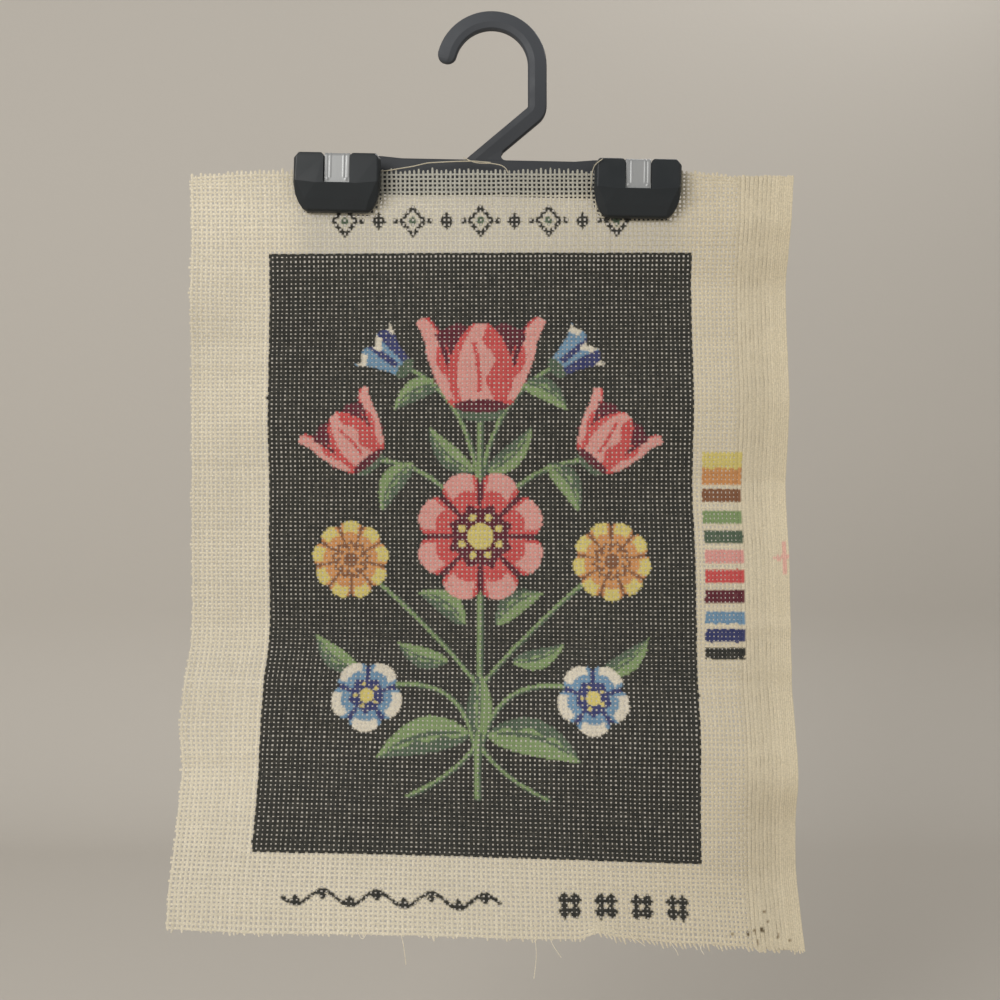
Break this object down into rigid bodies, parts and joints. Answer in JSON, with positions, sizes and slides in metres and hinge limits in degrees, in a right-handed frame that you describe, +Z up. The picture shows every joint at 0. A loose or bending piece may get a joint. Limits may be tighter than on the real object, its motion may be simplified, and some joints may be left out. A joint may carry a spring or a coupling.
{
  "type": "needlepoint canvas panel on a clip hanger",
  "caption": "Open weave needlepoint canvas with a printed flower design, hung from a black plastic hanger by clips with steel springs.",
  "frame": {"origin": "under the top of the hook's ring, where a peg or rail carries it, in the middle of the hook's depth", "axes": "+Z up, +X to the right as the printed front is seen, the printed front faces -Y"},
  "size_m": [0.3077, 0.0578, 0.4689],
  "materials": {
    "canvas_cloth": "stiffened open plain weave cotton, printed",
    "black_plastic": "moulded black plastic, semi gloss, lightly worn",
    "spring_steel": "bright rolled spring strip"
  },
  "bodies": {
    "root": {"canvas": "canvas_cloth", "hanger": "black_plastic", "front_jaw_left": "black_plastic", "front_jaw_right": "black_plastic", "spring_left": "spring_steel", "spring_right": "spring_steel"}
  },
  "joints": []
}
